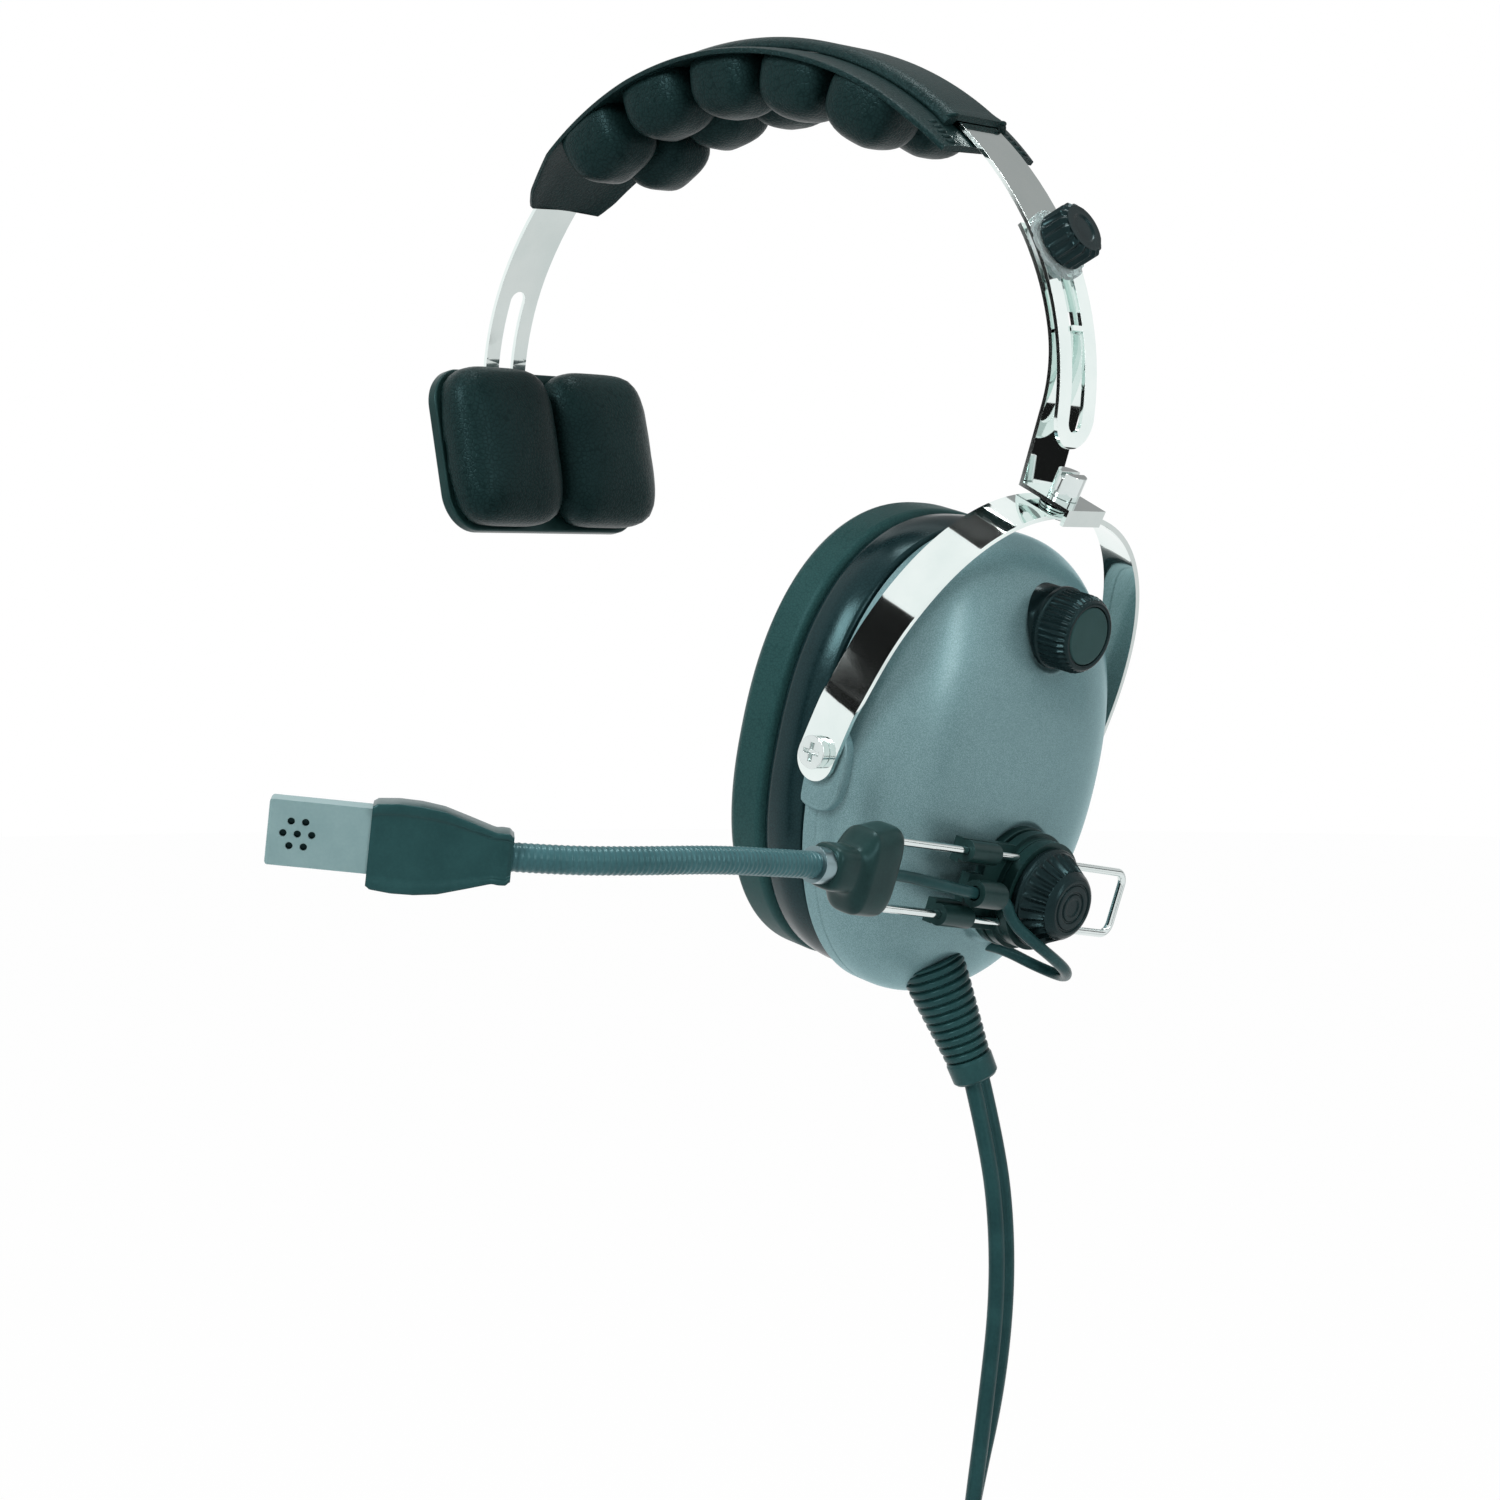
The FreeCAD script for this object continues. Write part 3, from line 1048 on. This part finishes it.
# ---------------------------------------------------------------- microphone lead
FRONT_LEAD = [(0.0, -63.3, 0.0), (0.1, -51.0, 0.3), (2.4, -38.5, -0.5), (3.8, -28.6, -1.08)]
LEAD_JOINT = 21.6    # where the two lead pieces meet inside the clip, forward of the swivel axis
LOOP = [(33.8, -13.3, -26.1), (35.6, -11.4, -31.6), (38.8, -5.8, -35.8), (40.2, 1.8, -40.0), (39.4, 9.4, -44.0),
        (33.9, 16.6, -47.8), (24.9, 16.6, -47.8), (19.2, 10.8, -45.2), (16.6, 4.8, -44.1), (13.4, 1.0, -43.8)]


def lead_loop(radius):
    """The lead from inside the clip, round its loop and into the dome; cup frame."""
    inside_clip = V(CLIP_X, -LEAD_JOINT, CLIP_Z)
    start = CUP.inverse().multiply(BOOM).multVec(inside_clip)
    return tube([start] + [V(*p) for p in LOOP], radius, "mic_lead_loop r %.2f" % radius)


def front_lead(radius):
    """The lead from the boom's block to the clip; boom frame."""
    stop = V(CLIP_X, -LEAD_JOINT - GAP, CLIP_Z - 0.02)
    return tube([V(*p) for p in FRONT_LEAD] + [stop], radius, "mic_lead_front r %.2f" % radius)


def microphone_lead():
    """Lead from the block to the clip, and its loop from the clip into the dome."""
    put("mic_lead_front", front_lead(LEAD_R)[0], BOOM)
    put("mic_lead_loop", lead_loop(LEAD_R)[0], CUP)


# ---------------------------------------------------------------- strain relief, cord and plugs
def strain_axis():
    """Start, end and direction of the strain relief in the cup frame."""
    a = V(*STRAIN_START)
    b = V(*STRAIN_END)
    return a, b, V(b - a).normalize()


def strain_relief():
    """Tapered ribbed sleeve with a plug that fills the dome's hole and a twin bore at its end."""
    a, b, d = strain_axis()
    length = (b - a).Length
    root = 9.0
    core = [Part.makeCylinder(STRAIN_R0, root, a - d * root, d)]
    core.append(Part.makeCone(STRAIN_R0 - 1.3, STRAIN_R1 - 1.0, length, a, d))
    step = length / STRAIN_RIBS
    for i in range(STRAIN_RIBS):
        k = (i + 0.5) / STRAIN_RIBS
        r = STRAIN_R0 + (STRAIN_R1 - STRAIN_R0) * k
        core.append(Part.makeCylinder(r, step * 0.62, a + d * (step * (i + 0.38)), d))
    body = fuse(core)
    body = body.cut(Part.makeCylinder(4.4, root + 4, a - d * (root + 0.1), d))
    put("strain_relief", body, CUP)


DROP = [(66.0, 5.4, -172.5), (67.6, 6.8, -191.0), (67.6, 6.8, -211.0), (65.8, 5.2, -233.0), (62.8, 2.7, -256.0),
        (60.6, 0.9, -276.0)]
COIL_CENTRE_DROP = 322.0


def flat_sweep(points, label):
    """Twin lead: an oval section swept along a route with its width kept near the Y direction."""
    wire, radii = route_wire(points)
    d = V(points[1] - points[0]).normalize()
    wide = V(0, 1, 0) - d * d.y
    wide = V(wide).normalize()
    thin = V(d.cross(wide)).normalize()
    h = (CORD_W - CORD_T) / 2
    r = CORD_T / 2
    p = points[0]
    c = [p + wide * h + thin * r, p + wide * (h + r), p + wide * h - thin * r,
         p - wide * h - thin * r, p - wide * (h + r), p - wide * h + thin * r]
    edges = [Part.Arc(c[0], c[1], c[2]).toShape(), Part.makeLine(c[2], c[3]),
             Part.Arc(c[3], c[4], c[5]).toShape(), Part.makeLine(c[5], c[0])]
    section = Part.Wire(edges)
    shell = Part.BRepOffsetAPI.MakePipeShell(wire)
    shell.setBiNormalMode(V(0, 1, 0))
    shell.add(section)
    shell.build()
    shell.makeSolid()
    solid = shell.shape()
    area = Part.Face(section).Area
    shown = " ".join("%.1f" % r for r in radii)
    print(label, "length %.1f" % wire.Length, "volume ratio %.4f" % (solid.Volume / area / wire.Length), "radii", shown)
    return solid


def cord():
    """Hanging twin lead, its tied coil, the splitter, two tails and their plugs."""
    a, b, d = strain_axis()
    start = CUP.multVec(b)
    pts = [start] + [V(x, y, z + ZC) for x, y, z in DROP]
    across = V(math.cos(math.radians(40)), math.sin(math.radians(40)), 0)
    last = pts[-1]
    centre = V(last.x, last.y, ZC - COIL_CENTRE_DROP) + across * COIL_R
    side_point = centre - across * COIL_R
    pts.append(V(side_point.x - 0.4, side_point.y - 0.3, side_point.z + 12))
    coil = Part.makeTorus(COIL_R, COIL_TUBE_R, centre, V(-math.sin(math.radians(40)), math.cos(math.radians(40)), 0))
    drop = flat_sweep(pts, "cord_drop").cut(coil)
    put("cord_drop", max(drop.Solids, key=lambda s: s.Volume), None)
    put("cord_coil", coil)
    foot = side_point + V(0, 0, -24)
    end = [side_point + V(0, 0, -12), foot, foot + V(1.0, 0.8, -22)]
    stub = flat_sweep(end, "cord_end").cut(coil)
    put("cord_end", max(stub.Solids, key=lambda s: s.Volume))
    split_top = end[-1]
    split = split_body(split_top)
    put("cord_splitter", split)
    tips = []
    for k, (name, reach) in enumerate((("tail_phones", 92.0), ("tail_mic", 66.0))):
        sgn = -1 if k == 0 else 1
        p0 = split_top + across * (sgn * 3.0) + V(0, 0, -SPLIT_L)
        p1 = p0 + across * (sgn * 1.5) + V(0, 0, -reach * 0.32)
        p2 = p0 + across * (sgn * 9.0) + V(0, 0, -reach * 0.66)
        p3 = p0 + across * (sgn * 11.0) + V(0, 0, -reach)
        solid, wire = tube([p0, p1, p2, p3], TAIL_R, name)
        put(name, solid)
        tips.append((p3, V(p3 - p2).normalize()))
    plugs(tips)


def split_body(top):
    """Moulded Y piece that joins the twin lead to the two tails."""
    across = V(math.cos(math.radians(40)), math.sin(math.radians(40)), 0)
    deep = V(-across.y, across.x, 0)
    wires = []
    for z, w, t in ((0.0, 10.4, 10.4), (-6.0, 12.0, 10.0), (-SPLIT_L + 5, 13.6, 8.0), (-SPLIT_L, 12.6, 6.6)):
        pts = []
        for i in range(20):
            ang = 2 * math.pi * (i + 0.5) / 20
            pts.append(top + across * (math.cos(ang) * w / 2) + deep * (math.sin(ang) * t / 2) + V(0, 0, z))
        curve = Part.BSplineCurve()
        curve.interpolate(Points=pts, PeriodicFlag=True)
        wires.append(Part.Wire([curve.toShape()]))
    return Part.makeLoft(wires, True, False)


def plug(tip, d, pin_r, pin_l):
    """Handle and pin of one plug, along the tail's end."""
    handle = Part.makeCylinder(HANDLE_R, HANDLE_L - 8, tip + d * 8, d)
    neck = Part.makeCone(HANDLE_R * 0.55, HANDLE_R, 8, tip, d)
    seat = tip + d * HANDLE_L
    root_r = pin_r - PIN_STEP
    root = Part.makeCylinder(root_r, PIN_ROOT, seat - d * PIN_ROOT, d)
    body = fuse([handle, neck]).cut(root)
    nose_l = pin_r * PIN_NOSE
    pin = Part.makeCylinder(pin_r, pin_l - nose_l, seat, d)
    nose = Part.makeCone(pin_r, pin_r * 0.45, nose_l, seat + d * (pin_l - nose_l), d)
    return body, fuse([root, pin, nose]), seat


def plugs(tips):
    """Phones plug on the long tail and microphone plug on the short one."""
    bodies = []
    pins = []
    for (tip, d), (r, length) in zip(tips, ((PHONE_R, PHONE_L), (MIC_PLUG_R, MIC_PLUG_L))):
        body, pin, seat = plug(tip, d, r, length)
        bodies.append(body)
        pins.append(pin)
        print("plug seat", [round(v, 4) for v in seat], "axis", [round(v, 5) for v in d])
    put("plug_handles", Part.makeCompound(bodies))
    put("plug_pins", Part.makeCompound(pins))


def show_frames():
    """Print joint centres and axes in metres."""
    def show(label, frame, p=V(0, 0, 0)):
        q = frame.multVec(p)
        ax = [frame.Rotation.multVec(u) for u in (V(1, 0, 0), V(0, 1, 0), V(0, 0, 1))]
        print("frame", label, [round(v / 1000, 6) for v in q], [[round(v, 6) for v in u] for u in ax])
    show("yoke", YOKE)
    show("cup", CUP)
    show("boom", BOOM)
    show("volume", CUP, V(VOL_PAD_A, VOL_B, VOL_C))
    for i, p in enumerate(NECK_POINTS):
        show("neck%d" % i, BOOM, V(*p))
    show("mic", PIECES["_mic_frame"])
    show("stud", spoke_frame(STUD_ANGLE))
    tp = ring_point(SIDE_X, SIDE_Z, R_SIDE, TEMPLE_ANGLE)
    ta = math.radians(TEMPLE_ANGLE)
    print("frame temple", [-tp.x / 1000, 0, tp.z / 1000], [-math.cos(ta), 0, math.sin(ta)])
    print("frame side centre", [SIDE_X / 1000, 0, SIDE_Z / 1000])


def main():
    """Build every piece and write one STEP file each."""
    headband()
    temple_side()
    put("lower_strap", lower_strap())
    adjuster()
    swivel()
    shells()
    pivot_screws()
    ear_parts()
    volume_control()
    boom_swivel()
    boom_front()
    gooseneck()
    microphone_lead()
    strain_relief()
    cord()
    show_frames()
    for name, shape in PIECES.items():
        if name.startswith("_"):
            continue
        shape.exportStep("parts/%s.step" % name)
        b = shape.BoundBox
        print("%-18s solids %d valid %s vol %.1f  x %.1f..%.1f y %.1f..%.1f z %.1f..%.1f" % (
            name, len(shape.Solids), shape.isValid(), shape.Volume, b.XMin, b.XMax, b.YMin, b.YMax, b.ZMin, b.ZMax))


main()
